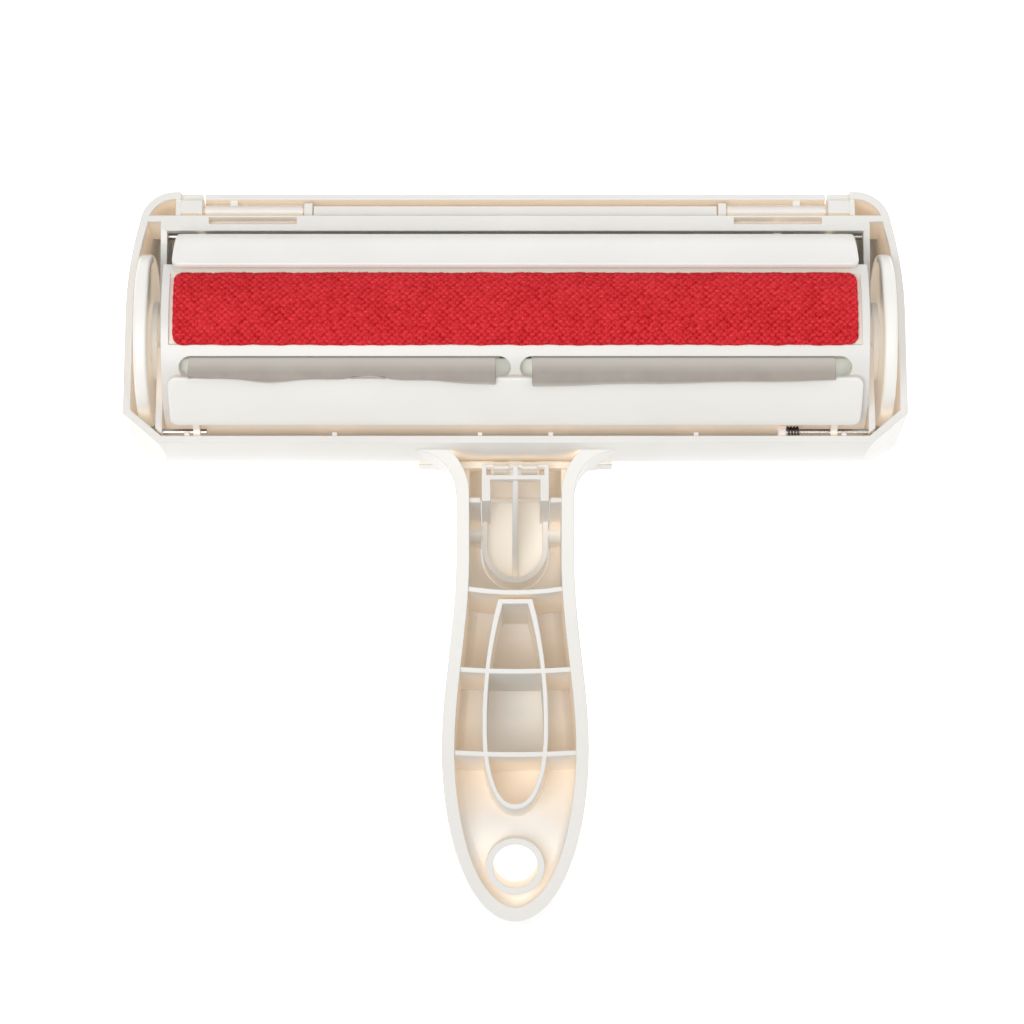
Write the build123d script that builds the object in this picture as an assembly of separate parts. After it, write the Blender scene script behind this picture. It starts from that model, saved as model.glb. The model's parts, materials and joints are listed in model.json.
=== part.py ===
"""Reusable pet-hair lint roller: an oscillating fabric drum in a hand-held housing.

Units are millimetres.  Everything is first modelled in the moulding frame, whose
origin is the middle of the drum's axis and whose +Z is the direction in which the
housing leaves its mould.  X runs along the drum, and the handle points to -Y.
put() then tilts the whole tool back onto its cover, as it lies on a table with the
working face up: z = 0 is the table, x = 0 is the plane of symmetry, and y = 0 is
half-way between the far edge of the head and the end of the handle.
"""

from build123d import *
from math import cos, radians, sin
import os

# ---------------------------------------------------------------- driving sizes
TILT = 15.0  # lean of the moulding direction from the vertical, as the tool lies
AXIS_HEIGHT = 32.2  # drum axis above the table
AXIS_Y = 57.9  # drum axis from the middle of the tool's length

# Head
HEAD_HALF = 100.0  # half the width over the side walls
SHELL_R = 31.2  # outside of the round near wall and cover
SHELL_IN_R = 29.4  # inside of the near wall
WALL = 1.9
RIM_Z = 8.7  # open rim of the head
PARTING_Z = -5.0  # where the housing ends and the cover begins
FAR_Y = 37.6  # far edge of the head
FAR_CENTRE = 6.4  # centre of the cover's far quarter circle
CORNER_X = 86.5  # inner end of the two far corner boxes
FAR_WALL_Y = 31.2  # outside of the far wall between the corner boxes
FAR_LEDGE_Y = 27.0  # inner edge of the ledge on top of the far wall

# Side plates that carry the drum
PLATE_IN = 89.9
PLATE_OUT = 91.6
NOTCH_W = 6.0

# Drum
DRUM_HALF = 89.3
DRUM_R = 25.0
DRUM_IN_R = 22.8
DRUM_FROM = -98.0  # first and last angle of the open drum, from the moulding direction
DRUM_TO = 33.0
POCKET_R = 24.0  # floor of the pockets that hold the fabric
PILE_R = 25.5  # top of the fabric
STRIP_HALF = 87.3
WIDE_FROM, WIDE_TO = -20.0, 25.2
NARROW_FROM, NARROW_TO = -74.0, -47.4
SLOT_MID = -33.7  # angle of the two hair slots
SLOT_W = 6.0
SLOT_IN, SLOT_OUT = 1.2, 84.8
STUB_R = 2.8  # axle stub on each end cap
DISC_R = 22.2
DISC_IN, DISC_OUT = 93.3, 96.6

# Scraper plates
SCRAPER_IN_R = 26.2
SCRAPER_OUT_R = 27.6
UPPER_HALF, LOWER_HALF = 87.0, 87.6  # half the width of each scraper
LOWER_FROM, LOWER_TO = -69.7, -37.5
UPPER_FROM, UPPER_TO = 27.0, 68.6
PIVOT_R = 27.2  # distance of the scraper pivots from the drum axis
LOWER_PIVOT, UPPER_PIVOT = -76.5, 80.0  # and their angles
PIN_R = 0.8
RUN = 0.06  # radial running clearance

# Cover hinge
HINGE_Y, HINGE_Z = 33.7, 4.9
BAR_R = 1.45
BAR_IN, BAR_OUT = 55.0, 80.6
COVER_SWEEP = 65.9  # reach of the cover's near edge from the hinge
CATCH_SWEEP = 70.8  # reach of its catch
LID_GAP = 0.7  # gap behind the hinge, for the cover's rising edge

# Handle, as half widths along the moulding frame's -Y
NECK_HALF = 15.1
NECK_FILLET = 10.2
NECK_TOP, NECK_LOW = -41.3, -56.0  # straight stretch of the neck
GRIP_TOP = -24.0  # where the handle's blocks end inside the head
GRIP_HALF, GRIP_Y = 19.1, -103.0
HANDLE_END = -142.6
RIM_W = 3.3
RIB = 1.15
RIB_DROP = 0.8
HOLE_R = 5.9
HOLE_BOSS_R = 7.7
HOLE_Y = -137.2  # from the drum axis, level with the table

# Release button
BUTTON_HALF = 8.6
BUTTON_WALL = 1.4
BUTTON_TOP, BUTTON_BOTTOM = -36.1, -57.7
PIVOT_Y, PIVOT_Z = -45.2, -23.5
LATCH_Z = 0.3  # top of the latch frame
LATCH_FRONT = -33.3


# ---------------------------------------------------------------- helpers
def put(shape):
    """From the moulding frame to the tool's own frame."""
    return Pos(0, AXIS_Y, AXIS_HEIGHT) * Rot(X=-TILT) * shape


def level(shape):
    """A shape drawn level with the table, about the drum axis, in the moulding frame."""
    return Rot(X=TILT) * shape


def span(x0, x1, y0, y1, z0, z1):
    """A box between two corners."""
    return Pos((x0 + x1) / 2, (y0 + y1) / 2, (z0 + z1) / 2) * Box(x1 - x0, y1 - y0, z1 - z0)


def rod(r, x0, x1, y=0.0, z=0.0):
    """A cylinder along X."""
    return Pos((x0 + x1) / 2, y, z) * Rot(Y=90) * Cylinder(r, x1 - x0)


def polar(r, angle):
    """The y and z of a point at an angle from the moulding direction towards +Y."""
    return r * sin(radians(angle)), r * cos(radians(angle))


def sector(x0, x1, first, last, reach=60.0):
    """A wedge of the drum's cross-section, from one angle to another."""
    steps = 8
    points = [(0.0, 0.0)]
    for i in range(steps + 1):
        points.append(polar(reach, first + (last - first) * i / steps))
    face = make_face(Polyline(*points, close=True))
    return Pos(x0, 0, 0) * extrude(Plane.YZ * face, amount=x1 - x0)


def shell_arc(r_in, r_out, x0, x1, first, last):
    """A curved panel about the drum axis."""
    tube = rod(r_out, x0, x1) - rod(r_in, x0 - 1, x1 + 1)
    return tube & sector(x0, x1, first, last)


def profile(points, x0, x1):
    """A polygon in Y and Z, run along X."""
    face = make_face(Polyline(*points, close=True))
    return Pos(x0, 0, 0) * extrude(Plane.YZ * face, amount=x1 - x0)


def both(shape):
    """A shape and its mirror image in the plane of symmetry."""
    return shape + mirror(shape, about=Plane.YZ)


def save(shape, name):
    """Writes one part in the tool's own frame."""
    os.makedirs("parts", exist_ok=True)
    export_step(put(shape), f"parts/{name}.step")


# ---------------------------------------------------------------- head outline
def head_prism(inset, z0, z1):
    """The head's outline, seen along the moulding direction, as a block."""
    x, far, near = HEAD_HALF - inset, FAR_Y - inset, -SHELL_R - 0.4 + inset
    cut = inset * 0.41
    path = [Line((-88 + cut, far), (88 - cut, far)), Line((-89.0 + cut, near), (89.0 - cut, near))]
    for s in (1, -1):
        bend = (s * (94.1 - inset * 0.75), 35.2 - inset * 0.7)
        path.append(ThreePointArc((s * (88 - cut), far), bend, (s * (97.0 - inset), 29.4 - cut)))
        path.append(ThreePointArc((s * (97.0 - inset), 29.4 - cut), (s * (99.1 - inset), 18.5), (s * x, 6.0)))
        path.append(Line((s * x, 6.0), (s * x, -22.0 + cut)))
        path.append(Line((s * x, -22.0 + cut), (s * (89.0 - cut), near)))
    return Pos(0, 0, z0) * extrude(make_face(Wire(path)), amount=z1 - z0)


def round_back(r, far_shift, z0, z1, reach=HEAD_HALF + 2):
    """Round near side and bottom of the head; the far quarter is moved outward."""
    near = rod(r, -reach, reach)
    middle = span(-reach, reach, 0, far_shift, -r, 0)
    far = rod(r, -reach, reach, far_shift)
    above = span(-reach, reach, 0, 60, 0, 40)
    return (near + middle + far + above) & span(-reach, reach, -60, 60, z0, z1)


def make_head():
    """Open frame of the head: walls, ledge, corner boxes and drum side plates."""
    outside = head_prism(0, PARTING_Z, RIM_Z) & round_back(SHELL_R, FAR_CENTRE, PARTING_Z, RIM_Z)
    inside = head_prism(WALL, -60, 60) & (rod(SHELL_IN_R, -120, 120) + span(-120, 120, 0, 60, -60, 60))
    frame = outside - inside
    lid_room = span(-CORNER_X, CORNER_X, FAR_WALL_Y, 60, -60, 60)
    frame = frame - lid_room
    frame += span(-98.5, 98.5, FAR_WALL_Y - 1.7, FAR_WALL_Y, PARTING_Z, RIM_Z) & outside
    frame += span(-90.5, 90.5, FAR_LEDGE_Y, FAR_WALL_Y, RIM_Z - 1.8, RIM_Z)
    for side in (-1, 1):
        frame -= span(*sorted((side * 56.5, side * 79.2)), 28.9, 30.7, RIM_Z - 3.2, RIM_Z + 1)
    frame += corner_boxes() + side_plates() + lip_ribs() + hinge_blocks() + spring_lugs()
    return frame


def corner_boxes():
    """Web and cross rib in each far corner, with a deep pocket either side."""
    web = span(CORNER_X, CORNER_X + 1.4, FAR_WALL_Y - 0.5, FAR_Y - 0.6, PARTING_Z, RIM_Z - 0.4)
    block = span(81.0, CORNER_X + 1.2, 32.0, FAR_Y - 0.4, RIM_Z - 2.2, RIM_Z - 0.5)
    floor = head_prism(0.5, PARTING_Z, PARTING_Z + 1.4) & span(CORNER_X, 120, FAR_WALL_Y - 1, 60, -60, 60)
    block -= span(80, CORNER_X, HINGE_Y + 1.9, 60, -60, 60)
    return both(web + block + floor)


def side_plates():
    """Two plates that carry the drum, each with a snap-in notch for its bearing."""
    plate = profile(
        [(-29.0, RIM_Z), (-4.6, RIM_Z), (-3.0, RIM_Z - 1.6), (-3.0, 0.0), (3.0, 0.0), (3.0, 3.6), (6.2, 5.2),
         (24.0, RIM_Z - 1.2), (27.4, RIM_Z), (30.0, RIM_Z), (30.0, PARTING_Z), (22.0, -14.0), (8.0, -16.0),
         (-8.0, -16.0), (-20.0, -14.0), (-30.0, PARTING_Z)],
        PLATE_IN, PLATE_OUT,
    )
    housing_side = rod(SHELL_IN_R + 0.4, PLATE_IN, PLATE_OUT) + span(PLATE_IN, PLATE_OUT, 0, 31, -60, 60)
    housing_side &= span(PLATE_IN, PLATE_OUT, -60, 60, PARTING_Z, RIM_Z)
    cover_side = rod(SHELL_IN_R - 0.8, PLATE_IN, PLATE_OUT) & span(PLATE_IN, PLATE_OUT, -60, 27, -60, 0)
    plate &= (housing_side + cover_side) & head_prism(WALL + 0.6, -60, 60)
    plate -= rod(NOTCH_W / 2, PLATE_IN - 1, PLATE_OUT + 1)
    for angle in (LOWER_PIVOT, UPPER_PIVOT):
        y, z = polar(PIVOT_R, angle)
        plate -= rod(PIN_R, PLATE_IN - 1, PLATE_OUT + 1, y, z)
    return both(plate)


def lip_ribs():
    """Short stiffening ribs inside the near lip."""
    ribs = None
    for x in (9.0, 46.0, 83.6):
        rib = span(x - 0.6, x + 0.6, -30, -20, PARTING_Z, RIM_Z - 0.3)
        rib &= rod(SHELL_IN_R + 0.4, x - 1, x + 1) - rod(28.3, x - 2, x + 2)
        ribs = rib if ribs is None else ribs + rib
    return both(ribs)


def spring_lugs():
    """Lugs at the right that hold the inner ends of the two long scraper pins."""
    lugs = None
    for angle in (LOWER_PIVOT, UPPER_PIVOT):
        y, z = polar(PIVOT_R, angle)
        lug = rod(1.5, 66.9, 68.9, y, z)
        wall = -SHELL_IN_R if angle < 0 else FAR_WALL_Y - 1.7
        low, high = sorted((y, wall + (0.6 if angle > 0 else -0.2)))
        lug += span(66.9, 68.9, low, high, z - 1.5, z + 1.5)
        lug &= span(60, 75, -30.2, 30.2, -40, 40) - (rod(26.0, 60, 75) - rod(1.5, 60, 75, y, z))
        lug -= rod(PIN_R, 60, 75, y, z)
        lugs = lug if lugs is None else lugs + lug
    return lugs


def hinge_blocks():
    """Bored blocks at both ends of each hinge bar of the cover."""
    blocks = None
    outer = (BAR_OUT + 0.3, CORNER_X + 0.2, FAR_Y, PARTING_Z + LID_GAP)
    inner = (52.6, BAR_IN - 0.3, HINGE_Y + 1.5, HINGE_Z - 2.0)
    for x0, x1, y1, z0 in (outer, inner):
        block = span(x0, x1, FAR_WALL_Y - 0.3, y1, z0, HINGE_Z + 2.0)
        block -= rod(0.9 + RUN, x0 - 1, x1 + 1, HINGE_Y, HINGE_Z)
        blocks = block if blocks is None else blocks + block
    return both(blocks)


# ---------------------------------------------------------------- handle
def grip_prism(inset, flared=True):
    """The handle's outline, seen along the moulding direction, as a tall block."""
    w = NECK_HALF - inset
    bend = NECK_FILLET + inset
    side = [(w, NECK_LOW), (17.4 - inset, -82.0), (GRIP_HALF - inset, GRIP_Y), (17.2 - inset, -120.0)]
    side += [(12.0 - 0.9 * inset, -134.0 + 0.35 * inset), (7.1 - 0.6 * inset, -139.9 + 0.8 * inset)]
    round_end = side + [(0, HANDLE_END + inset)] + [(-x, y) for x, y in reversed(side)]
    path = [Spline(*round_end, tangents=[(0, -1), (0, 1)])]
    top_half = w + bend if flared else w
    for s in (1, -1):
        if flared:
            path.append(Line((s * w, NECK_LOW), (s * w, NECK_TOP)))
            middle = (s * (w + bend * (1 - cos(radians(45)))), NECK_TOP + bend * sin(radians(45)))
            path.append(ThreePointArc((s * w, NECK_TOP), middle, (s * top_half, NECK_TOP + bend)))
            path.append(Line((s * top_half, NECK_TOP + bend), (s * top_half, GRIP_TOP)))
        else:
            path.append(Line((s * w, NECK_LOW), (s * w, GRIP_TOP)))
    path.append(Line((top_half, GRIP_TOP), (-top_half, GRIP_TOP)))
    return Pos(0, 0, -90) * extrude(make_face(Wire(path)), amount=130)


def side_prism(top, bottom, half_width):
    """The handle's side profile between two level curves, run along X."""
    path = [
        Spline(*top),
        Line(top[-1], bottom[-1]),
        Spline(*bottom),
        Line(bottom[0], top[0]),
    ]
    face = make_face(Wire(path))
    return level(Pos(-half_width, 0, 0) * extrude(Plane.YZ * face, amount=2 * half_width))


# Side curves, level with the table: y from the drum axis, z from the drum axis.
RIM_CURVE = [(-24.0, 13.6), (-60.0, 8.4), (-95.0, 1.4), (-125.0, -7.0), (-158.0, -19.5)]
BACK_CURVE = [(-24.0, -16.5), (-60.0, -19.6), (-95.0, -24.6), (-125.0, -29.6), (-145.0, -31.95), (-158.0, -31.4)]
FLOOR_CURVE = [(-24.0, -14.3), (-60.0, -17.4), (-95.0, -22.3), (-108.0, -22.6)]
FLOOR_CURVE += [(-120.0, -18.6), (-131.0, -16.0), (-145.0, -18.6), (-158.0, -24.0)]  # shallow round the eye


def lifted(curve, rise):
    """The same curve, higher."""
    return [(y, z + rise) for y, z in curve]


def trough(inset, bottom, radius, top=RIM_CURVE):
    """A block with the handle's outline and rounded lower edges."""
    block = grip_prism(inset, flared=False) & side_prism(top, bottom, 40)
    block = block.solids()[0]
    under = [f for f in block.faces() if f.normal_at().Z < -0.7 and f.bounding_box().size.Y > 40]
    edges = [e for f in under for e in f.edges() if e.bounding_box().size.Y > 3]
    block = fillet(edges, radius)
    flare = grip_prism(inset) & side_prism(top, bottom, 40)
    return block + (flare & span(-60, 60, NECK_TOP - 1, 0, PARTING_Z, 60))


def make_handle():
    """Trough-shaped handle with its ribs and the bored hanging eye."""
    above = lifted(RIM_CURVE, 30)
    outer = trough(0, BACK_CURVE, 6.0)
    hollow = trough(RIM_W, FLOOR_CURVE, 2.2, top=above)
    eye = level(Pos(0, HOLE_Y, -40) * Cylinder(HOLE_BOSS_R, 60, align=(Align.CENTER, Align.CENTER, Align.MIN)))
    under_rim = side_prism(lifted(RIM_CURVE, -RIB_DROP), lifted(BACK_CURVE, 6.0), 40)
    ribs = handle_ribs() & trough(RIM_W - 0.5, lifted(BACK_CURVE, 1.2), 5.0)
    ribs = (ribs + (eye & grip_prism(RIM_W - 0.5))) & under_rim
    handle = outer - hollow + (ribs & outer)
    handle -= level(Pos(0, HOLE_Y, -60) * Cylinder(HOLE_R, 90, align=(Align.CENTER, Align.CENTER, Align.MIN)))
    return handle


def bent_rib(half, y_end, y_mid):
    """A rib across the handle, slightly bowed towards its end."""
    line = ThreePointArc((-half, y_end), (0, y_mid), (half, y_end))
    back = ThreePointArc((half, y_end - RIB), (0, y_mid - RIB), (-half, y_end - RIB))
    ends = [Line((half, y_end), (half, y_end - RIB)), Line((-half, y_end - RIB), (-half, y_end))]
    face = make_face(Wire([line, ends[0], back, ends[1]]))
    return Pos(0, 0, -90) * extrude(face, amount=130)


def loop_face(inset):
    """Long tapered loop in the middle of the grip."""
    path = [
        Line((0, -66.0 - inset), (4.4 - inset, -66.0 - inset)),
        Spline(
            (4.4 - inset, -66.0 - inset), (7.4 - inset, -80.2), (8.5 - inset, -98.0),
            (6.2 - inset * 0.8, -110.8 + inset * 0.6), (0, -115.8 + inset),
            tangents=[(0.30, -1), (-1, 0)],
        ),
        Line((0, -115.8 + inset), (0, -66.0 - inset)),
    ]
    return make_face(Wire(path))


def handle_ribs():
    """All ribs of the trough as tall blocks, to be trimmed to the handle."""
    loop = both(Pos(0, 0, -90) * extrude(loop_face(0), amount=130))
    loop -= both(Pos(0, 0, -91) * extrude(loop_face(RIB), amount=132))
    ribs = loop
    for y_end, y_mid in ((-60.9, -63.9), (-81.5, -82.6), (-101.5, -102.3)):
        ribs += bent_rib(22.0, y_end, y_mid)
    return ribs


def swing_room():
    """Space under the head that the cover and its catch sweep through as it opens."""
    sweep = rod(COVER_SWEEP, -60, 60, HINGE_Y, HINGE_Z) + rod(CATCH_SWEEP, -6.3, 6.3, HINGE_Y, HINGE_Z)
    return sweep & span(-60, 60, -60, 0, -60, PARTING_Z - 0.1)


def make_housing():
    """Head and handle in one moulding."""
    handle = make_handle()
    handle -= rod(SHELL_IN_R + 0.5, -60, 60)
    handle -= button_opening()
    end_wall = rod(COVER_SWEEP + 1.7, -40, 40, HINGE_Y, HINGE_Z) - rod(COVER_SWEEP, -41, 41, HINGE_Y, HINGE_Z)
    end_wall &= grip_prism(RIM_W - 0.6) & side_prism(lifted(RIM_CURVE, -4), lifted(BACK_CURVE, 0.6), 40)
    end_wall &= span(-40, 40, -60, -20, -60, PARTING_Z + 2)
    end_wall -= span(-7.4, 7.4, -60, 0, -13.5, -4.9)
    handle += end_wall
    handle -= swing_room()
    head = make_head() - span(-101, 101, HINGE_Y, FAR_Y + 1, PARTING_Z - 1, PARTING_Z + LID_GAP)
    return head + handle + button_guides()


# ---------------------------------------------------------------- release button
def button_plan(half, top, bottom):
    """U-shaped plan of the button: square at the head, round towards the grip."""
    path = [
        Line((-half, top), (half, top)),
        Line((half, top), (half, bottom + half)),
        ThreePointArc((half, bottom + half), (0, bottom), (-half, bottom + half)),
        Line((-half, bottom + half), (-half, top)),
    ]
    return Pos(0, 0, -90) * extrude(make_face(Wire(path)), amount=130)


def button_opening():
    """Hole in the handle's back for the button, with a gap all round."""
    below = side_prism([(-20, -10), (-45, -11.6), (-75, -14.5)], [(-20, -40), (-45, -41), (-75, -42)], 40)
    return button_plan(BUTTON_HALF + 0.5, BUTTON_TOP + 0.8, BUTTON_BOTTOM - 0.5) & below


def button_guides():
    """Short ribs beside the button, and cups that hold its pivots."""
    inner, outer = BUTTON_HALF + 0.3, 13.0
    guide = span(inner, outer, -42.9, -41.6, -22.0, -1.6)
    cup = rod(2.9, inner, outer, PIVOT_Y, PIVOT_Z) - rod(1.8 + RUN, 0, 20, PIVOT_Y, PIVOT_Z)
    post = span(inner, outer, PIVOT_Y - 2.4, PIVOT_Y + 2.4, PIVOT_Z - 9.0, PIVOT_Z)
    cup += post - rod(2.4, 0, 20, PIVOT_Y, PIVOT_Z)
    return both(guide + (cup & side_prism(RIM_CURVE, lifted(BACK_CURVE, 0.8), 40)))


def make_button():
    """Hollow rocking button with its latch frame."""
    pad_band = side_prism([(-20, -14.2), (-45, -16.1), (-75, -19.2)], [(-20, -16.4), (-45, -18.3), (-75, -21.4)], 40)
    cup_band = side_prism([(-20, -6.5), (-45, -8.4), (-75, -15.5)], [(-20, -16.0), (-45, -18.0), (-75, -21.0)], 40)
    body = button_plan(BUTTON_HALF, BUTTON_TOP, BUTTON_BOTTOM)
    core = button_plan(BUTTON_HALF - BUTTON_WALL, BUTTON_TOP + 5, BUTTON_BOTTOM + BUTTON_WALL)
    button = (body & pad_band) + ((body - core) & cup_band)
    rib_top = [(-20, 9.0), (-38, 8.0), (-50, -3.0), (-62, -16.5)]
    rib_low = [(-20, -15.0), (-38, -16.6), (-50, -17.8), (-62, -19.0)]
    rib = span(-0.7, 0.7, BUTTON_BOTTOM + 1, -34.0, -60, 20) & side_prism(rib_top, rib_low, 5)
    button += rib - span(-1, 1, BUTTON_TOP, 0, -60, LATCH_Z - 2.0)
    for s in (-1, 1):
        x0, x1 = sorted((s * (BUTTON_HALF - 2.2), s * BUTTON_HALF))
        button += span(x0, x1, -43.0, BUTTON_TOP, -22.5, LATCH_Z)
        x0, x1 = sorted((s * (BUTTON_HALF - BUTTON_WALL), s * 10.2))
        button += rod(1.8, x0, x1, PIVOT_Y, PIVOT_Z)
    frame = span(-BUTTON_HALF, BUTTON_HALF, BUTTON_TOP - 1.2, LATCH_FRONT, LATCH_Z - 2.0, LATCH_Z)
    for s in (-1, 1):
        x0, x1 = sorted((s * 0.7, s * (BUTTON_HALF - 1.2)))
        frame -= span(x0, x1, BUTTON_TOP, LATCH_FRONT - 0.8, LATCH_Z - 3, LATCH_Z + 1)
    return button + frame


# ---------------------------------------------------------------- cover
def make_cover():
    """Round dust cover with its hinge bars, far lip and catch."""
    low, high = -60.0, PARTING_Z - 0.15
    shell = head_prism(0, low, high) & round_back(SHELL_R, FAR_CENTRE, low, high)
    core = head_prism(WALL, low - 1, 60) & round_back(SHELL_IN_R, FAR_CENTRE, low, high + 2)
    cover = shell - core
    lip_half = BAR_OUT - 0.2
    cover += span(-lip_half, lip_half, FAR_Y - 1.4, FAR_Y, PARTING_Z - 1.6, HINGE_Z + 1.7)
    for side in (-1, 1):
        x0, x1 = sorted((side * BAR_IN, side * BAR_OUT))
        cover += rod(BAR_R, x0, x1, HINGE_Y, HINGE_Z)
        cover += span(x0, x1, HINGE_Y - 1.45, FAR_Y - 1, HINGE_Z - 3.6, HINGE_Z - 2.2)
        cover += span(x0, x1, HINGE_Y - 0.7, HINGE_Y + 0.7, HINGE_Z - 3.6, HINGE_Z)
        cover += rod(0.9, x0 - 2.3, x1 + 2.3, HINGE_Y, HINGE_Z)
        x0, x1 = sorted((side * 72.0, side * 74.0))
        cover += span(x0, x1, HINGE_Y, FAR_Y - 1, HINGE_Z - 3.0, HINGE_Z + 0.9)
    cover += span(-52.3, 52.3, HINGE_Y - 1.6, HINGE_Y + 1.0, HINGE_Z - 4.6, HINGE_Z + 1.2)
    cover += span(-52.3, 52.3, HINGE_Y - 1.6, FAR_Y - 1, HINGE_Z - 6.0, HINGE_Z - 4.6)
    back = LATCH_FRONT - 1.6
    for x in (-3.6, 3.6):
        arm = span(x - 2.0, x + 2.0, back, -29.8, -10.6, -8.8)
        tongue = span(x - 2.0, x + 2.0, back, back + 0.75, -10.6, LATCH_Z + 1.1)
        barb = profile(
            [(back, LATCH_Z + 0.1), (back + 1.5, LATCH_Z + 0.1), (back + 0.75, LATCH_Z + 1.4), (back, LATCH_Z + 1.4)],
            x - 2.0, x + 2.0,
        )
        cover += arm + tongue + barb
    rest = Pos(0, 0, -AXIS_HEIGHT - 20) * Box(400, 400, 40)
    return cover - level(rest)


# ---------------------------------------------------------------- drum
def make_drum():
    """Open drum with fabric pockets, two hair slots and inner rails for the flaps."""
    drum = shell_arc(DRUM_IN_R, DRUM_R, -DRUM_HALF, DRUM_HALF, DRUM_FROM, DRUM_TO)
    for first, last in ((WIDE_FROM, WIDE_TO), (NARROW_FROM, NARROW_TO)):
        drum -= shell_arc(POCKET_R, DRUM_R + 1, -STRIP_HALF, STRIP_HALF, first, last)
    slot = None
    for side in (-1, 1):
        x_mid = side * (SLOT_IN + SLOT_OUT) / 2
        plan = SlotOverall(SLOT_OUT - SLOT_IN, SLOT_W)
        cut = Pos(x_mid, 0, 15) * extrude(plan, amount=15)
        cut = Rot(X=-SLOT_MID) * cut
        slot = cut if slot is None else slot + cut
    drum -= slot
    drum += Rot(X=-SLOT_MID) * span(-86.6, 86.6, 3.0, 4.6, 17.8, DRUM_IN_R - 0.3)
    return drum


def make_strip(first, last):
    """Short-pile fabric in one pocket of the drum, with rounded corners."""
    inset = 0.25 / DRUM_R * 57.3
    strip = shell_arc(POCKET_R, PILE_R, -STRIP_HALF + 0.3, STRIP_HALF - 0.3, first + inset, last - inset)
    corners = [edge for edge in strip.edges() if edge.length < 2.0]
    return fillet(corners, 2.2)


def make_flap(x0, x1):
    """Rubber flap: root inside the drum, neck through a slot, lip over the lower scraper.

    Its section is drawn with the slot's middle plane as the Z axis.
    """
    inner = [(1.75, 24.6), (1.1, 26.8), (-0.3, 28.1), (-1.8, 28.4), (-3.5, 28.1)]
    outer = [(-3.5, 28.9), (-1.2, 29.25), (1.0, 28.7), (2.4, 27.0), (2.95, 24.6)]
    root = [(2.95, 18.0), (1.75, 18.0)]
    edges = [
        Spline(*inner, tangents=[(0, 1), (-1, -0.3)]),
        Line(inner[-1], outer[0]),
        Spline(*outer, tangents=[(1, 0.3), (0, -1)]),
        Line(outer[-1], root[0]),
        Line(root[0], root[1]),
        Line(root[1], inner[0]),
    ]
    face = make_face(Wire(edges))
    return Rot(X=-SLOT_MID) * Pos(x0, 0, 0) * extrude(Plane.YZ * face, amount=x1 - x0)


def make_clamp(side):
    """Flat bar that holds a flap's root against the rail inside the drum."""
    x0, x1 = sorted((side * 4.0, side * 84.0))
    return Rot(X=-SLOT_MID) * span(x0, x1, 0.4, 1.72, 18.2, 22.2)


def make_end_cap():
    """Right end cap: a plate inside the drum's end with its axle stub."""
    rim = DRUM_IN_R - 0.02
    plate = rod(rim, DRUM_HALF - 2.2, DRUM_HALF) & sector(80, 95, DRUM_FROM, DRUM_TO)
    hub = rod(7.0, DRUM_HALF - 2.2, DRUM_HALF)
    cap = plate + hub + rod(4.6, DRUM_HALF - 7.0, DRUM_HALF)
    cap += rod(STUB_R, DRUM_HALF, DISC_OUT - 1.2)
    cap -= rod(1.0, DISC_OUT - 10.0, DISC_OUT)
    return cap


def make_bearing():
    """Right bearing: a round flange with a square-sided bush that drops into the notch."""
    flange = rod(10.2, PLATE_OUT + 0.05, PLATE_OUT + 1.5)
    bush = rod(NOTCH_W / 2 - 0.02, PLATE_IN + 0.1, PLATE_OUT + 0.1)
    return flange + bush - rod(STUB_R + RUN, PLATE_IN - 1, PLATE_OUT + 3)


def make_disc():
    """Right end disc: a dished wheel with a wide rounded rim."""
    web = rod(DISC_R - 1.0, DISC_OUT - 2.6, DISC_OUT - 1.2)
    rim = rod(DISC_R, DISC_IN, DISC_OUT) - rod(DISC_R - 1.8, DISC_IN - 1, DISC_OUT + 1)
    circles = [e for e in rim.edges() if e.geom_type == GeomType.CIRCLE]
    edges = [e for e in circles if abs(e.radius - DISC_R) < 0.1]
    rim = fillet(edges, 0.8)
    hub = rod(5.6, DISC_IN, DISC_OUT - 1.2)
    disc = web + rim + hub
    disc -= rod(STUB_R, DISC_IN - 1, DISC_OUT - 1.2)
    disc -= rod(1.4, DISC_IN, DISC_OUT + 1)
    return disc


def make_screws():
    """Two pan-head screws that hold the end discs."""
    shaft = rod(1.0, DISC_OUT - 9.0, DISC_OUT - 1.2)
    head = rod(2.4, DISC_OUT - 1.2, DISC_OUT + 0.2)
    head -= span(DISC_OUT - 0.6, DISC_OUT + 1, -1.4, 1.4, -0.25, 0.25)
    head -= span(DISC_OUT - 0.6, DISC_OUT + 1, -0.25, 0.25, -1.4, 1.4)
    return both(shaft + head)


def make_scraper(first, last, pivot_angle, half):
    """Curved panel that wipes the drum, with knuckles for its pivot pins."""
    panel = shell_arc(SCRAPER_IN_R, SCRAPER_OUT_R, -half, half, first, last)
    corners = [e for e in panel.edges() if e.length < 1.6]
    panel = fillet(corners, 2.2)
    long_edges = [e for e in panel.edges() if e.length > 150 and abs(e.position_at(0.5).Z) > 0]
    outer = [e for e in long_edges if Vector(0, e.position_at(0.5).Y, e.position_at(0.5).Z).length > 27]
    panel = fillet(outer, 0.6)
    y, z = polar(PIVOT_R, pivot_angle)
    edge = last if pivot_angle > 0 else first
    low, high = sorted((edge - (4 if pivot_angle > 0 else -4), pivot_angle))
    for x0, x1 in ((80.2, 82.0), (-82.0, -80.2)):
        knuckle = rod(1.45, x0, x1, y, z) + shell_arc(SCRAPER_IN_R, SCRAPER_OUT_R, x0, x1, low, high)
        panel += knuckle - rod(PIN_R + RUN, x0 - 1, x1 + 1, y, z)
    panel -= rod(PIN_R + RUN, 80, 83, y, z) + rod(PIN_R + RUN, -83, -80, y, z)
    return panel


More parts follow.
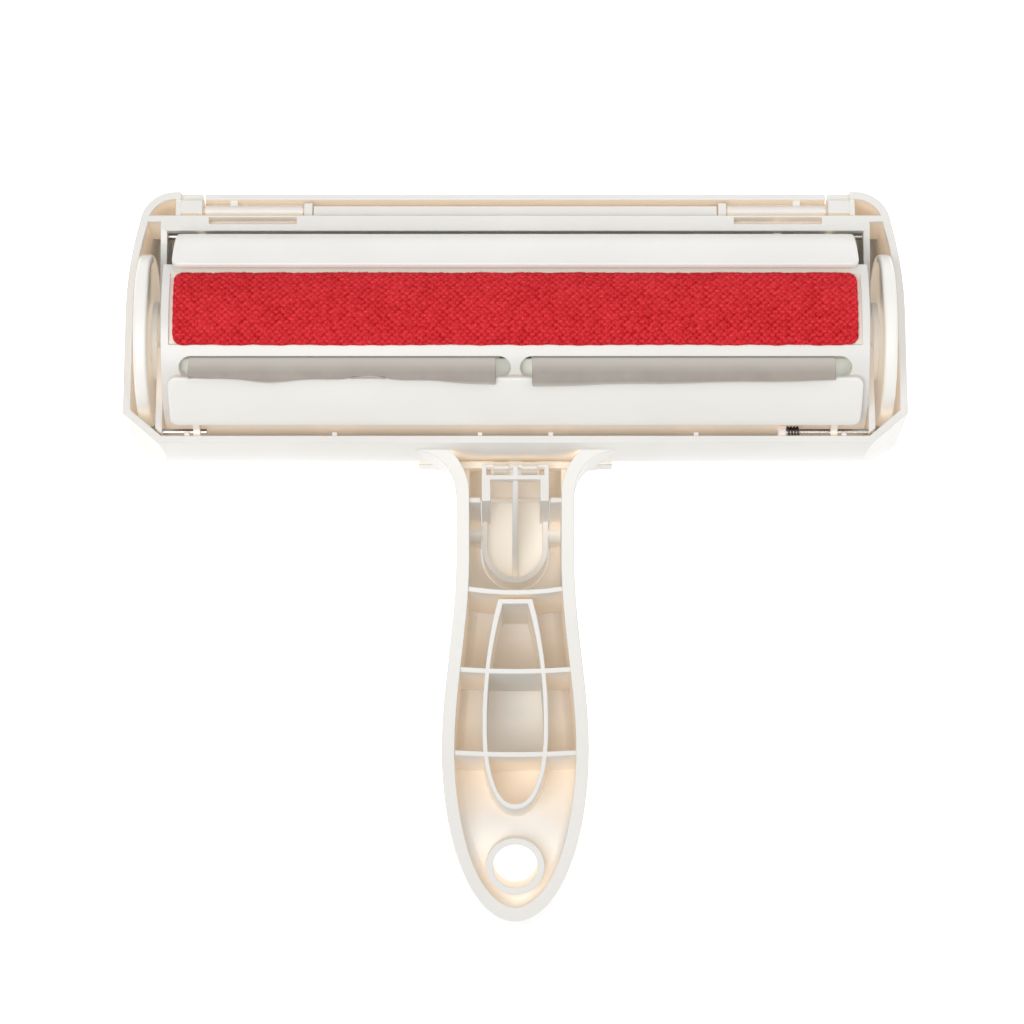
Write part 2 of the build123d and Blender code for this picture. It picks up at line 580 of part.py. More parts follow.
def make_pins(pivot_angle):
    """Two steel pins of one scraper: a short left one, and a long right one that carries the spring."""
    y, z = polar(PIVOT_R, pivot_angle)
    end = PLATE_OUT - 0.7
    return rod(PIN_R, -end, -78.6, y, z) + rod(PIN_R, 66.9, end, y, z)


def make_spring(pivot_angle, turns=4.0):
    """Torsion spring round the right pin, with one leg on the scraper."""
    y, z = polar(PIVOT_R, pivot_angle)
    wire = 0.28
    coil_r = PIN_R + 0.12 + wire
    pitch = 0.8
    line = Helix(pitch=pitch, height=pitch * turns, radius=coil_r)
    section = Plane(origin=line @ 0, z_dir=line % 0) * Circle(wire)
    coil = sweep(section, path=line, is_frenet=True)
    return Pos(69.2, y, z) * Rot(Y=90) * coil


def main():
    """Builds and writes every part."""
    save(make_housing(), "housing")
    save(make_cover(), "dust_cover")
    save(make_button(), "release_button")
    save(make_drum(), "drum_shell")
    save(make_strip(WIDE_FROM, WIDE_TO), "lint_strip_wide")
    save(make_strip(NARROW_FROM, NARROW_TO), "lint_strip_narrow")
    save(make_flap(-82.5, -4.9), "flap_left")
    save(make_flap(4.2, 80.7), "flap_right")
    save(make_clamp(-1), "flap_clamp_left")
    save(make_clamp(1), "flap_clamp_right")
    for name, maker in (("end_cap", make_end_cap), ("drum_bearing", make_bearing), ("end_disc", make_disc)):
        right = maker()
        save(right, f"{name}_right")
        save(mirror(right, about=Plane.YZ), f"{name}_left")
    save(make_screws(), "disc_screws")
    save(make_scraper(UPPER_FROM, UPPER_TO, UPPER_PIVOT, UPPER_HALF), "upper_scraper")
    save(make_scraper(LOWER_FROM, LOWER_TO, LOWER_PIVOT, LOWER_HALF), "lower_scraper")
    save(make_pins(UPPER_PIVOT), "upper_scraper_pins")
    save(make_pins(LOWER_PIVOT), "lower_scraper_pins")
    save(make_spring(UPPER_PIVOT), "upper_scraper_spring")
    save(make_spring(LOWER_PIVOT), "lower_scraper_spring")


main()
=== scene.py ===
"""Looks of a reusable pet-hair lint roller.

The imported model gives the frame: metres, +Z up from the table, +Y from the handle
to the head, +X along the drum.  The plastic and metal nodes keep their shapes and get
procedural materials here.  The two fabric strips and the two rubber flaps are modelled
as what they are, and ride on the drum.
"""

import json
import math

import bpy
import numpy as np
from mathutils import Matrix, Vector


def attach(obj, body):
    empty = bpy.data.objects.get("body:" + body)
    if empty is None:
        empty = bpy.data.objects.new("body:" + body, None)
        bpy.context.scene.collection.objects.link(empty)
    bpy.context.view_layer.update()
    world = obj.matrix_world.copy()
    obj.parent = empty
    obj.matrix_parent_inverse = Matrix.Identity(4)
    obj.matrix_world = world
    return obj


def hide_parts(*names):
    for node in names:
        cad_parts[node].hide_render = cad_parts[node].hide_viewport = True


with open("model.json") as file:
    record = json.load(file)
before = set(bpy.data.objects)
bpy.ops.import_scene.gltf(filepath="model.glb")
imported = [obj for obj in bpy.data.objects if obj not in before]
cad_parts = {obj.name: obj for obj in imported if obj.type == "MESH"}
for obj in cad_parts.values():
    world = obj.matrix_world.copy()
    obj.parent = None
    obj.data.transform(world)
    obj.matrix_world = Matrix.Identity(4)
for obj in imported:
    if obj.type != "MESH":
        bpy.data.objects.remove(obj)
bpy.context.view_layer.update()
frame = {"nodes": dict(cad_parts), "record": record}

# ---------------------------------------------------------------- sizes, in metres
TILT = math.radians(15.0)  # lean of the drum's own frame as the tool lies
joints = {j["name"]: j for j in frame["record"]["behaviour"]["joints"]}
AXIS = Vector(joints["drum_swing"]["pos_m"])  # middle of the drum's axis
POCKET_R = 0.02405  # floor of the fabric's pockets
PILE_R = 0.0255  # close under the tips of the pile
CHAMBER_HALF = 0.0895  # half the dust chamber's width
CHAMBER_NEAR, CHAMBER_FAR = AXIS.y - 0.0305, AXIS.y + 0.0245  # its near and far walls
CHAMBER_FADE = 0.001

# soft shade on the floor right under the neck: how far out it is full, and where it ends
SHADE_X = (0.0095, 0.0145)
SHADE_Y = (0.027, 0.05)
FLOOR_GLOW = 0.55
SKY_GLOW = 0.55
KEY_WATTS, FILL_WATTS = 11.0, 3.0
LAMP_SIDE = 0.9
AIM = (0, 0, 0.03)  # point that the lamps face

LENS_MM = 123.4
CAMERA_HIGH = 0.94
CAMERA_BACK = 0.0443  # from the drum's axis towards the handle

random = np.random.default_rng(7)


# ---------------------------------------------------------------- node helpers
class Nodes:
    """A material's node tree, with short calls to add and join nodes."""

    def __init__(self, name):
        self.material = bpy.data.materials.new(name)
        self.material.use_nodes = True
        self.tree = self.material.node_tree
        self.shader = self.tree.nodes["Principled BSDF"]
        self.place = self.add("ShaderNodeTexCoord").outputs["Object"]

    def add(self, kind, **settings):
        node = self.tree.nodes.new(kind)
        for key, value in settings.items():
            setattr(node, key, value)
        return node

    def join(self, source, target):
        self.tree.links.new(source, target)

    def noise(self, scale, detail=3.0, rough=0.5, vector=None):
        node = self.add("ShaderNodeTexNoise")
        node.inputs["Scale"].default_value = scale
        node.inputs["Detail"].default_value = detail
        node.inputs["Roughness"].default_value = rough
        self.join(vector or self.place, node.inputs["Vector"])
        return node.outputs["Fac"]

    def stretched(self, x, y, z):
        node = self.add("ShaderNodeMapping")
        node.inputs["Scale"].default_value = (x, y, z)
        self.join(self.place, node.inputs["Vector"])
        return node.outputs["Vector"]

    def spread(self, value, low, high, to_low, to_high):
        node = self.add("ShaderNodeMapRange")
        limits = {"From Min": low, "From Max": high, "To Min": to_low, "To Max": to_high}
        for key, number in limits.items():
            node.inputs[key].default_value = number
        self.join(value, node.inputs["Value"])
        return node.outputs["Result"]

    def mix(self, factor, first, second, blend="MIX"):
        node = self.add("ShaderNodeMix", data_type="RGBA", blend_type=blend)
        sockets = [s for s in node.inputs if s.enabled]
        for value, socket in zip((factor, first, second), sockets):
            if isinstance(value, bpy.types.NodeSocket):
                self.join(value, socket)
            elif isinstance(value, (int, float)):
                socket.default_value = value
            else:
                socket.default_value = (*value, 1.0)
        return [s for s in node.outputs if s.enabled][0]

    def openness(self, reach):
        """How open a point is to its surroundings, from 0 in a deep corner to 1."""
        node = self.add("ShaderNodeAmbientOcclusion", samples=12)
        node.inputs["Distance"].default_value = reach
        return node.outputs["AO"]

    def along(self, axis):
        """Position along one axis of the frame."""
        split = self.add("ShaderNodeSeparateXYZ")
        self.join(self.place, split.inputs["Vector"])
        return split.outputs[axis]

    def calculate(self, operation, *values):
        node = self.add("ShaderNodeMath", operation=operation)
        for value, socket in zip(values, node.inputs):
            self.join(value, socket)
        return node.outputs["Value"]

    def shut_in(self):
        """1 on the closed-in walls of the dust chamber between the side plates, and 0 elsewhere: where
        painted light is laid.
        """
        aside = self.calculate("ABSOLUTE", self.along("X"))
        between = self.spread(aside, CHAMBER_HALF - CHAMBER_FADE, CHAMBER_HALF, 1.0, 0.0)
        beyond = self.spread(self.along("Y"), CHAMBER_NEAR, CHAMBER_NEAR + CHAMBER_FADE, 0.0, 1.0)
        before = self.spread(self.along("Y"), CHAMBER_FAR - CHAMBER_FADE, CHAMBER_FAR, 1.0, 0.0)
        shut = self.spread(self.openness(0.035), 0.08, 0.4, 1.0, 0.0)
        for factor in (between, beyond, before):
            shut = self.calculate("MULTIPLY", shut, factor)
        return shut

    def bump(self, height, strength, depth, normal=None):
        node = self.add("ShaderNodeBump")
        node.inputs["Strength"].default_value = strength
        node.inputs["Distance"].default_value = depth
        self.join(height, node.inputs["Height"])
        if normal:
            self.join(normal, node.inputs["Normal"])
        return node.outputs["Normal"]

    def bevel(self, radius):
        node = self.add("ShaderNodeBevel", samples=6)
        node.inputs["Radius"].default_value = radius
        return node.outputs["Normal"]


def plastic(name, colour, shade_colour, painted_glow, rough=0.34, reach=0.014, grain=0.10, chamber=None):
    """Moulded plastic: satin and softly mottled, with painted shade, a warm tan, and painted light in its
    corners.

    Its shade colour and its light colour are the painted shade and the painted light in corners closed in
    within a reach, and chamber is painted light on the walls of the dust chamber.
    """
    n = Nodes(name)
    cloud = n.spread(n.noise(38.0), 0.3, 0.7, 0.0, 1.0)
    paler = tuple(min(1.0, c * 1.02) for c in colour)
    darker = tuple(c * 0.975 for c in colour)
    body = n.mix(cloud, darker, paler)
    # painted shade and painted light: corners closed in within the reach take the shade colour and give
    # off light
    inside = n.spread(n.openness(reach), 0.15, 0.72, 1.0, 0.0)
    n.join(n.mix(inside, body, shade_colour), n.shader.inputs["Base Color"])
    painted_light = n.mix(inside, (0.0, 0.0, 0.0), painted_glow)
    # painted light on the walls of the dust chamber
    if chamber:
        painted_light = n.mix(n.shut_in(), painted_light, chamber, blend="ADD")
    n.join(painted_light, n.shader.inputs["Emission Color"])
    n.shader.inputs["Emission Strength"].default_value = 1.0
    n.join(n.spread(n.noise(900.0), 0.3, 0.7, rough - 0.02, rough + 0.03), n.shader.inputs["Roughness"])
    skin = n.bump(n.noise(5200.0, detail=2.0), grain, 0.00003, n.bevel(0.00035))
    n.join(skin, n.shader.inputs["Normal"])
    n.shader.inputs["IOR"].default_value = 1.5
    return n.material


def metal(name, colour, rough):
    """Drawn wire or turned steel, with fine scratches round it."""
    n = Nodes(name)
    scratches = n.noise(900.0, detail=4.0, vector=n.stretched(12.0, 1.0, 1.0))
    share = n.spread(scratches, 0.3, 0.7, 0.0, 1.0)
    n.join(n.mix(share, tuple(c * 0.7 for c in colour), colour), n.shader.inputs["Base Color"])
    n.join(n.spread(scratches, 0.3, 0.7, rough - 0.08, rough + 0.12), n.shader.inputs["Roughness"])
    n.shader.inputs["Metallic"].default_value = 1.0
    n.join(n.bump(scratches, 0.15, 0.00005, n.bevel(0.0001)), n.shader.inputs["Normal"])
    return n.material


def rubber(name, colour, lit_colour, painted_glow=(0.0, 0.0, 0.0)):
    """Soft rubber with a dull bloom, and painted light that makes it paler round its bend and along its
    edge.
    """
    n = Nodes(name)
    cloud = n.spread(n.noise(160.0, detail=4.0), 0.3, 0.7, 0.0, 1.0)
    body = n.mix(cloud, tuple(c * 0.92 for c in colour), tuple(c * 1.06 for c in colour))
    # painted light, laid on the mesh: how much paler each point is drawn
    lit_paint = n.add("ShaderNodeAttribute", attribute_name="lit_paint").outputs["Fac"]
    body = n.mix(lit_paint, body, lit_colour)
    # painted shade, darker in narrow gaps by ambient occlusion, and painted light given off below
    inside = n.spread(n.openness(0.004), 0.1, 0.7, 0.55, 0.0)
    n.join(n.mix(inside, body, tuple(c * 0.6 for c in colour)), n.shader.inputs["Base Color"])
    n.join(n.mix(cloud, tuple(c * 0.85 for c in painted_glow), painted_glow), n.shader.inputs["Emission Color"])
    n.shader.inputs["Emission Strength"].default_value = 1.0
    n.join(n.spread(n.noise(700.0), 0.3, 0.7, 0.5, 0.66), n.shader.inputs["Roughness"])
    n.join(n.bump(n.noise(3800.0, detail=2.0), 0.12, 0.00004), n.shader.inputs["Normal"])
    n.shader.inputs["Sheen Weight"].default_value = 0.15
    return n.material


def pile(name, shade_colour, tip):
    """Short red fabric pile: painted shade darkens it between the tufts, and a painted highlight makes it
    pinker on the tips.
    """
    n = Nodes(name)
    tufts = n.add("ShaderNodeAttribute", attribute_name="tuft").outputs["Fac"]
    high = n.spread(tufts, 0.25, 0.95, 0.0, 1.0)
    fibre = n.spread(n.noise(2600.0, detail=4.0, rough=0.7), 0.32, 0.68, 0.0, 1.0)
    patch = n.spread(n.noise(90.0, detail=3.0), 0.3, 0.7, 0.0, 1.0)
    # painted shade and painted highlight, set by each point's height in the pile
    tuft = n.mix(high, shade_colour, tip)
    body = n.mix(fibre, tuple(c * 0.8 for c in shade_colour), tuft)
    rubbed = n.mix(patch, body, tuple(min(1.0, c * 1.15) for c in tip))
    n.join(n.mix(0.12, body, rubbed), n.shader.inputs["Base Color"])
    n.shader.inputs["Roughness"].default_value = 0.85
    n.shader.inputs["Specular IOR Level"].default_value = 0.15
    n.shader.inputs["Sheen Weight"].default_value = 0.4
    n.shader.inputs["Sheen Roughness"].default_value = 0.4
    n.shader.inputs["Sheen Tint"].default_value = (1.0, 0.35, 0.38, 1.0)
    n.join(n.bump(n.noise(4200.0, detail=4.0, rough=0.7), 0.6, 0.00012), n.shader.inputs["Normal"])
    return n.material


# ---------------------------------------------------------------- materials
WHITE = (0.70, 0.692, 0.672)
DRUM_WHITE = (0.66, 0.655, 0.64)
PLATE_WHITE = (0.735, 0.73, 0.71)
DISC_WHITE = (0.80, 0.79, 0.765)
# painted shade colours that corners take on, and the painted light that they give off
TAN_SHADE = (0.86, 0.765, 0.66)
CORNER_GLOW_PAINT = (0.105, 0.09, 0.069)
PALE_SHADE = (0.82, 0.77, 0.70)
ROOT_GREY = (0.72, 0.74, 0.69)
# white plastic: painted shade and painted light in its corners, and painted light on the dust chamber's
# walls
white_plastic = plastic("white_plastic", WHITE, TAN_SHADE, CORNER_GLOW_PAINT, chamber=(0.36, 0.305, 0.245))
# the same white, with a paler painted shade in its corners and more painted light
button_plastic = plastic("button_plastic", WHITE, PALE_SHADE, (0.14, 0.125, 0.105))
# the drum, scrapers and discs: each with its own painted shade and painted light in corners
drum_plastic = plastic(
    "drum_plastic", DRUM_WHITE, (0.74, 0.68, 0.61), (0.13, 0.115, 0.095), rough=0.3, reach=0.006
)
plate_plastic = plastic(
    "plate_plastic", PLATE_WHITE, (0.74, 0.68, 0.6), (0.06, 0.052, 0.044), rough=0.3, reach=0.005
)
disc_plastic = plastic("disc_plastic", DISC_WHITE, PALE_SHADE, (0.17, 0.16, 0.145), rough=0.36, reach=0.01)
steel = metal("steel", (0.55, 0.54, 0.53), 0.3)
spring_steel = metal("spring_steel", (0.12, 0.11, 0.11), 0.42)
# the flaps' second colour is their painted light; the roots get painted light given off as well
grey_rubber = rubber("grey_rubber", (0.30, 0.268, 0.238), (0.58, 0.57, 0.53))
root_rubber = rubber("root_rubber", ROOT_GREY, ROOT_GREY, (0.16, 0.165, 0.15))
red_pile = pile("red_pile", (0.40, 0.001, 0.005), (0.93, 0.06, 0.075))

LOOKS = {
    "housing": white_plastic,
    "dust_cover": white_plastic,
    "release_button": button_plastic,
    "drum_shell": drum_plastic,
    "flap_clamp_left": drum_plastic,
    "flap_clamp_right": drum_plastic,
    "end_cap_left": drum_plastic,
    "end_cap_right": drum_plastic,
    "drum_bearing_left": disc_plastic,
    "drum_bearing_right": disc_plastic,
    "end_disc_left": disc_plastic,
    "end_disc_right": disc_plastic,
    "disc_screws": steel,
    "upper_scraper": plate_plastic,
    "lower_scraper": plate_plastic,
    "upper_scraper_pins": steel,
    "lower_scraper_pins": steel,
    "upper_scraper_spring": spring_steel,
    "lower_scraper_spring": spring_steel,
}


def paint(obj, material):
    obj.data.materials.clear()
    obj.data.materials.append(material)


for node, material in LOOKS.items():
    paint(frame["nodes"][node], material)


# ---------------------------------------------------------------- drum coordinates
def on_drum(x, radius, angle):
    """Points at a radius and an angle from the drum's own upright, towards the head's far side."""
    turn = angle + TILT
    return np.stack([x, AXIS.y + radius * np.sin(turn), AXIS.z + radius * np.cos(turn)], axis=-1)


def mesh_object(name, points, faces, material, body):
    """A smooth-shaded mesh in the scene that moves with one body."""
    mesh = bpy.data.meshes.new(name)
    mesh.from_pydata([tuple(p) for p in points], [], [tuple(f) for f in faces])
    mesh.update()
    mesh.polygons.foreach_set("use_smooth", [True] * len(mesh.polygons))
    obj = bpy.data.objects.new(name, mesh)
    bpy.context.scene.collection.objects.link(obj)
    paint(obj, material)
    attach(obj, body)
    return obj


def grid_faces(rows, columns, start=0, flip=False):
    """Quads of a grid of points stored row by row."""
    faces = []
    for i in range(rows - 1):
        for j in range(columns - 1):
            a = start + i * columns + j
            quad = (a, a + 1, a + columns + 1, a + columns)
            faces.append(quad[::-1] if flip else quad)
    return faces


# ---------------------------------------------------------------- fabric strips
TUFT_X, TUFT_Y = 0.00172, 0.00084  # spacing of the tufts along and across a strip
TUFT_LEAN = 0.55
TUFT_HIGH = 0.00052
CELL = 0.00021  # mesh size of the pile
CORNER = 0.0026  # radius of a strip's corners
RIM = 0.0011  # width of its rolled rim
RIM_WAVE = 0.002  # how far in its edge wanders
FRINGE = 0.0006  # width of the band that the fringe grows from
FIBRE_HALF = 0.00002


def scatter(column, row, a, b, size):
    """A number from 0 to 1 that looks random but depends only on a tuft's place."""
    value = np.sin(column * a + row * b) * size
    return value - np.floor(value)


def tuft_heights(along, across):
    """Height of the pile from 0 to 1: staggered tufts that lean left and right in turn."""
    best = np.zeros(along.shape)
    nearest_row = np.round(across / TUFT_Y)
    for dr in (-1, 0, 1):
        row = nearest_row + dr
        even = row % 2 == 0
        shift = np.where(even, 0.0, 0.5)
        lean = np.where(even, TUFT_LEAN, -TUFT_LEAN)
        nearest_column = np.round(along / TUFT_X - shift)
        for dc in (-1, 0, 1):
            column = nearest_column + dc
            jitter = scatter(column, row, 12.9898, 78.233, 43758.5453)
            jitter2 = scatter(column, row, 39.346, 11.135, 24634.6345)
            dx = along - (column + shift + 0.22 * (jitter - 0.5)) * TUFT_X
            dy = across - (row + 0.3 * (jitter2 - 0.5)) * TUFT_Y
            u = (dx + lean * dy) / (TUFT_X * 0.56)
            v = (dy - lean * 0.35 * dx) / (TUFT_Y * 0.82)
            height = np.clip(1 - u * u - v * v, 0, None) ** 0.6 * (0.72 + 0.28 * jitter)
            best = np.maximum(best, height)
    return best


def lay_tufts(obj, heights):
    """Keeps each point's height in the pile on the mesh, for the material to read."""
    layer = obj.data.attributes.new("tuft", "FLOAT", "POINT")
    layer.data.foreach_set("value", heights)


def rounded_grid(x_half, y_half):
    """A grid of points pulled in to rounded corners, with each point's distance in from the edge."""
    along = np.linspace(-1, 1, int(2 * x_half / CELL))
    across = np.linspace(-1, 1, int(2 * y_half / CELL))
    across, along = np.meshgrid(across, along, indexing="ij")
    px, py = along * x_half, across * y_half
    cx, cy = np.abs(px) - (x_half - CORNER), np.abs(py) - (y_half - CORNER)
    corner = (cx > 0) & (cy > 0)
    length = np.hypot(cx, cy)
    square = np.maximum(cx, cy)
    pull = np.where(corner & (length > 0), square / np.maximum(length, 1e-9), 1.0)
    px = np.where(corner, np.sign(px) * (x_half - CORNER + cx * pull), px)
    py = np.where(corner, np.sign(py) * (y_half - CORNER + cy * pull), py)
    ex, ey = x_half - np.abs(px), y_half - np.abs(py)
    inside = np.where(corner, CORNER - square, np.minimum(ex, ey))
    return px, py, np.clip(inside, 0, None)


def wander(px, py, inside, x_half):
    """The same grid with its cut edges a little uneven."""
    near_edge = np.clip(1 - inside / RIM_WAVE, 0, 1)
    wave = 0.00010 * np.sin(px * 310.0 + 3 * np.sin(px * 97.0)) + 0.00006 * np.sin(px * 1260.0)
    py = py + wave * near_edge * np.sign(py)
    px = px + 0.00005 * np.sin(py * 2100.0) * near_edge * (np.abs(px) > x_half - 0.003)
    return px, py


def close_below(faces, nx, ny, start):
    """Adds the walls and the back of a strip whose border is copied from point start on."""
    border = list(range(nx)) + [i * nx + nx - 1 for i in range(1, ny)]
    border += [(ny - 1) * nx + j for j in range(nx - 2, -1, -1)]
    border += [i * nx for i in range(ny - 2, 0, -1)]
    for k, point in enumerate(border):
        k2 = (k + 1) % len(border)
        faces.append((point, start + k, start + k2, border[k2]))
    far_corner = start + 2 * (nx - 1) + (ny - 1)
    for j in range(nx - 1):
        low, high = start + j, far_corner - j
        faces.append((low + 1, low, high, high - 1))
    return border


def make_strip(name, node, x_half, first, last):
    """A strip of cut pile, standing in its pocket: tufted top, rounded rim and a flat back."""
    reach = (last - first) * PILE_R
    px, py, inside = rounded_grid(x_half, reach / 2)
    px, py = wander(px, py, inside, x_half)
    tufts = tuft_heights(px, py)
    fuzz = random.normal(0, 0.00004, px.shape)
    rim = np.clip(inside / RIM, 0, 1)
    roll = np.sqrt(1 - (1 - rim) ** 2)
    ground = PILE_R - 0.0004 - 0.00006 * (1 - roll)
    top = ground + TUFT_HIGH * tufts * (0.45 + 0.55 * rim) + fuzz * rim
    angle = (first + last) / 2 + py / PILE_R
    points = on_drum(px.ravel(), top.ravel(), angle.ravel())
    back = on_drum(px.ravel(), np.full(px.size, POCKET_R), angle.ravel())
    ny, nx = px.shape
    faces = grid_faces(ny, nx)
    border = close_below(faces, nx, ny, len(points))
    obj = mesh_object(name, np.concatenate([points, back[border]]), faces, red_pile, "drum")
    lay_tufts(obj, np.concatenate([tufts.ravel(), np.zeros(len(border))]))
    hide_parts(node)
    return px, angle, top, inside


def make_fibres(name, strip, count):
    """Loose fibres: a fringe round the strip's rim and as many over its face."""
    px, angle, top, inside = (values.ravel() for values in strip)
    near = np.flatnonzero(inside < FRINGE)
    far = np.flatnonzero(inside >= FRINGE)
    chosen = np.concatenate([random.choice(near, count), random.choice(far, count)])
    x, a, r = px[chosen], angle[chosen], top[chosen]
    n = len(chosen)
    in_fringe = np.arange(n) < count
    out_x = np.where(np.abs(x) > np.abs(px).max() - 0.001, np.sign(x), 0.0)
    out_a = np.where(in_fringe, np.sign(a - (a.max() + a.min()) / 2), 0.0)
    lean = random.uniform(-0.5, 0.5, n)
    size = random.uniform(0.0003, 0.0005, n)
    points = []
    for t in (0, 1 / 3, 2 / 3, 1):
        side = random.uniform(-0.25, 0.25, n) * 0.4
        bx = x + size * t * (0.9 * lean + 0.4 * out_x)
        ba = a + size * t * (0.45 * out_a + side) / PILE_R
        br = r - 0.0001 + size * (t - 0.45 * t * t * in_fringe)
        half = FIBRE_HALF * (1 - 0.7 * t)
        points.append(on_drum(bx - half, br, ba))
        points.append(on_drum(bx + half, br, ba))
    points = np.stack(points, axis=1).reshape(-1, 3)
    faces = []
    for k in range(n):
        for step in range(3):
            b = k * 8 + step * 2
            faces.append((b, b + 1, b + 3, b + 2))
    fibres = mesh_object(name, points, faces, red_pile, "drum")
    lay_tufts(fibres, np.full(len(points), 0.55))


rad = math.radians
wide = make_strip("pile_wide", "lint_strip_wide", 0.0863, rad(-20.3), rad(25.4))
narrow = make_strip("pile_narrow", "lint_strip_narrow", 0.0863, rad(-73.7), rad(-47.7))
make_fibres("fibres_wide", wide, 5200)
make_fibres("fibres_narrow", narrow, 2600)


# ---------------------------------------------------------------- rubber flaps
SLOT_ANGLE = rad(-33.7)
FLAP_T = 0.00085
EDGE_T = 0.72  # thickness of a flap's free edge, as a share of the rest
ROOT_R = (0.02268, 0.02232)  # outer and inner faces of a flap's root flange
ROOT_Y = (-0.005, 0.0017)


def in_slot(x, y, z):
    """Points given across and along a slot's middle plane, from the drum's axis."""
    turn = -SLOT_ANGLE - TILT
    side, up = math.cos(turn), math.sin(turn)
    return (x, AXIS.y + y * side - z * up, AXIS.z + y * up + z * side)


def lip_line(reach, lift):
    """Middle line of a flap's section in millimetres, from its root up the slot and over the scraper."""
    return [
        (2.35, 18.1), (2.35, 20.0), (2.35, 22.0), (2.32, 23.6), (2.2, 24.8), (1.95, 25.9),
        (1.45, 26.9 + 0.2 * lift),
        (0.7, 27.85 + 0.4 * lift), (-0.3, 28.5 + 0.6 * lift), (-1.3, 28.85 + 0.8 * lift),
        (-2.3 - 0.4 * reach, 28.92 + lift), (-3.35 - reach, 28.87 + lift),
    ]


# painted light on the rubber at each point of that line: paler up the slot and round its bend, and a
# painted highlight on the free edge
LIT_PAINT = (1.0, 1.0, 1.0, 1.0, 1.0, 0.9, 0.65, 0.3, 0.05, 0.0, 0.0, 0.5)


def make_root(name, x0, x1):
    """A flap's thin root flange, lying against the inside of the drum behind a slot."""
    columns = 14
    points = []
    for radius in ROOT_R:
        for x in (x0, x1):
            for y in np.linspace(*ROOT_Y, columns):
                points.append(in_slot(x, y, math.sqrt(radius ** 2 - y ** 2)))
    faces = grid_faces(2, columns, flip=True) + grid_faces(2, columns, start=2 * columns)
    border = list(range(columns)) + list(range(2 * columns - 1, columns - 1, -1))
    for a, b in zip(border, border[1:] + border[:1]):
        faces.append((a, b, b + 2 * columns, a + 2 * columns))
    obj = mesh_object(name, points, faces, root_rubber, "drum")


def thicken(line):
    """Outline in metres of a flap's section, from its middle line in millimetres."""
    line = [Vector((y / 1000, z / 1000)) for y, z in line]
    left, right = [], []
    for k, point in enumerate(line):
        ahead = line[min(k + 1, len(line) - 1)] - line[max(k - 1, 0)]
        ahead.normalize()
        normal = Vector((-ahead.y, ahead.x))
        half = FLAP_T / 2 * (1.0 if k < len(line) - 1 else EDGE_T)
        left.append(point + normal * half)
        right.append(point - normal * half)
    return left + right[::-1]


def make_flap(name, node, x0, x1, reach, lift):
    """A rubber blade whose lip waves along its length, with a thinner free edge."""
    steps = 160
    points = []
    for i in range(steps + 1):
        x = x0 + (x1 - x0) * i / steps
        s = (x - x0) / (x1 - x0)
        section = thicken(lip_line(reach(s), lift(s)))
        points += [in_slot(x, p.x, p.y) for p in section]
    size = len(section)
    faces = []
    for i in range(steps):
        for k in range(size):
            a, b = i * size + k, i * size + (k + 1) % size
            faces.append((a, b, b + size, a + size))
    columns = size // 2
    for start, flip in ((0, False), (steps * size, True)):
        for k in range(columns - 1):
            quad = (start + k, start + size - 1 - k, start + size - 2 - k, start + k + 1)
            faces.append(quad[::-1] if flip else quad)
    obj = mesh_object(name, points, faces, grey_rubber, "drum")
    # painted light along each section: paler up the slot and round the bend, with a painted highlight on
    # the free edge
    lit_paint = obj.data.attributes.new("lit_paint", "FLOAT", "POINT")
    lit_paint.data.foreach_set("value", (LIT_PAINT + LIT_PAINT[::-1]) * (steps + 1))
    smooth = obj.modifiers.new("smooth", "SUBSURF")
    smooth.levels = 1
    smooth.render_levels = 1
    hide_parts(node)


def bump_at(s, centre, width):
    """A smooth bump of height 1."""
    return math.exp(-((s - centre) / width) ** 2)


def left_reach(s):
    """How far the left lip reaches out, at s from 0 to 1 along it: it bulges, then is pinched."""
    bulge = 1.4 * bump_at(s, 0.27, 0.13) + 2.2 * s ** 3
    pinch = 0.9 * bump_at(s, 0.6, 0.06)
    return -2.1 + bulge - pinch + 0.15 * math.sin(30 * s)


def left_lift(s):
    """How far it stands off the scraper."""
    return 0.12 * math.sin(14 * s) + 0.5 * bump_at(s, 0.6, 0.05)


def right_reach(s):
    """The right lip reaches evenly less far towards its outer end."""
    return 0.35 - 1.6 * s + 0.12 * math.sin(17 * s)


def right_lift(s):
    return 0.10 * math.sin(9 * s + 1)


make_flap("rubber_flap_left", "flap_left", -0.0823, -0.0049, left_reach, left_lift)
make_flap("rubber_flap_right", "flap_right", 0.0042, 0.0805, right_reach, right_lift)
make_root("flap_root_left", -0.0849, -0.0012)
make_root("flap_root_right", 0.0012, 0.0849)


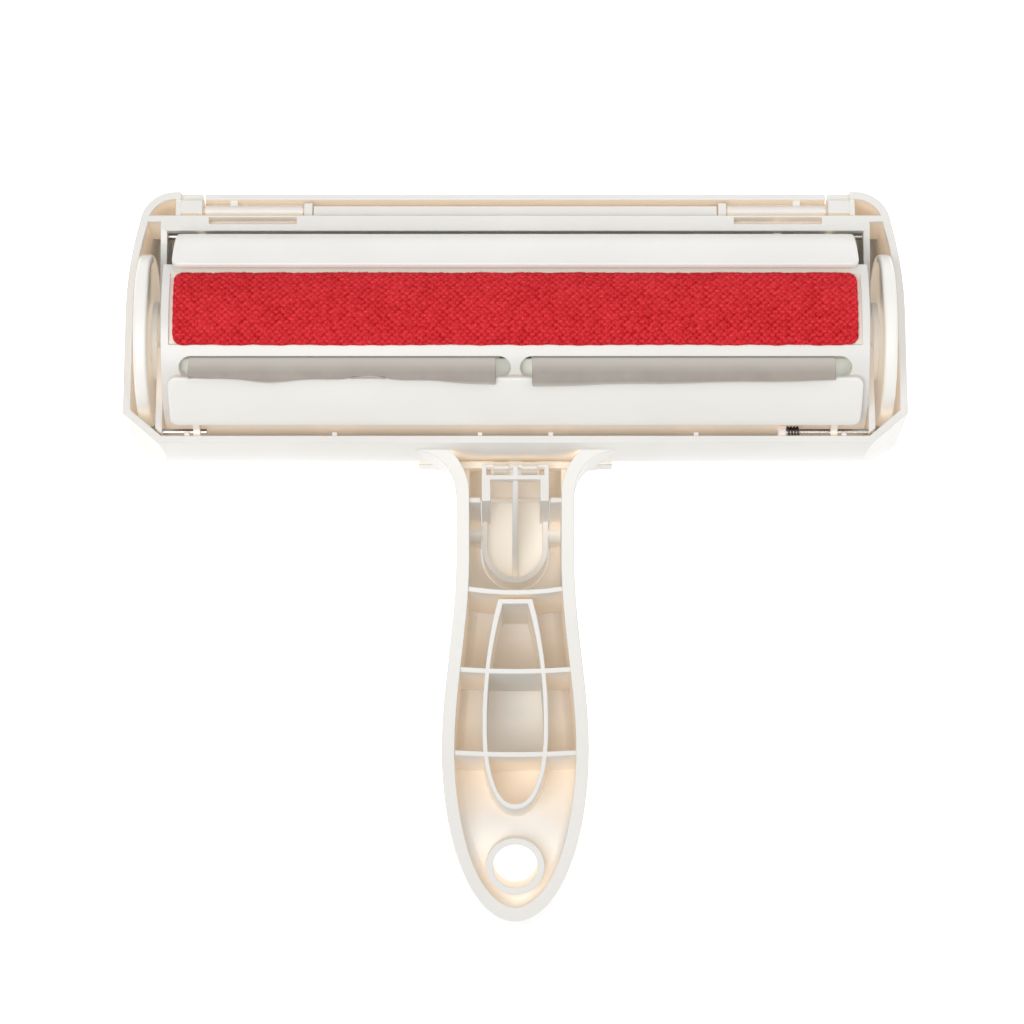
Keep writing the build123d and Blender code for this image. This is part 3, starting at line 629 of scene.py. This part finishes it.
# ---------------------------------------------------------------- floor, light and camera
floor_nodes = Nodes("floor")
floor_shader = floor_nodes.shader
floor_tone = floor_nodes.mix(floor_nodes.noise(3.0), (0.93, 0.93, 0.93), (0.95, 0.95, 0.95))
floor_nodes.join(floor_tone, floor_shader.inputs["Base Color"])
floor_shader.inputs["Roughness"].default_value = 0.9
floor_shader.inputs["Specular IOR Level"].default_value = 0.1
floor_nodes.join(floor_tone, floor_shader.inputs["Emission Color"])
shades = []
for axis, (full, end) in (("X", SHADE_X), ("Y", SHADE_Y)):
    aside = floor_nodes.calculate("ABSOLUTE", floor_nodes.along(axis))
    shades.append(floor_nodes.spread(aside, full, end, 0.0, FLOOR_GLOW))
floor_nodes.join(floor_nodes.calculate("MAXIMUM", *shades), floor_shader.inputs["Emission Strength"])

bpy.ops.mesh.primitive_plane_add(size=6.0, location=(0, 0, -0.0002))
floor = bpy.context.object
floor.name = "floor"
paint(floor, floor_nodes.material)

world = bpy.data.worlds.new("studio")
bpy.context.scene.world = world
world.use_nodes = True
sky = world.node_tree.nodes["Background"]
sky.inputs["Color"].default_value = (1.0, 0.985, 0.97, 1.0)
sky.inputs["Strength"].default_value = SKY_GLOW


def soft_light(name, place, watts, colour):
    """A square softbox above the tool, facing it."""
    data = bpy.data.lights.new(name, "AREA")
    data.shape = "SQUARE"
    data.size = LAMP_SIDE
    data.energy = watts
    data.color = colour
    lamp = bpy.data.objects.new(name, data)
    lamp.location = place
    lamp.rotation_euler = (Vector(AIM) - Vector(place)).to_track_quat("-Z", "Y").to_euler()
    bpy.context.scene.collection.objects.link(lamp)


soft_light("key", (-0.3, -0.15, 1.3), KEY_WATTS, (1.0, 0.985, 0.96))
soft_light("fill", (0.6, 0.5, 1.0), FILL_WATTS, (0.97, 0.985, 1.0))

camera_data = bpy.data.cameras.new("camera")
camera_data.lens = LENS_MM
camera_data.sensor_width = 36.0
camera = bpy.data.objects.new("camera", camera_data)
camera.location = (-0.00085, AXIS.y - CAMERA_BACK, CAMERA_HIGH)
camera.rotation_euler = (0.0, 0.0, 0.0)
bpy.context.scene.collection.objects.link(camera)
bpy.context.scene.camera = camera

scene = bpy.context.scene
scene.view_settings.view_transform = "Standard"
scene.view_settings.look = "None"
scene.view_settings.exposure = 0.0
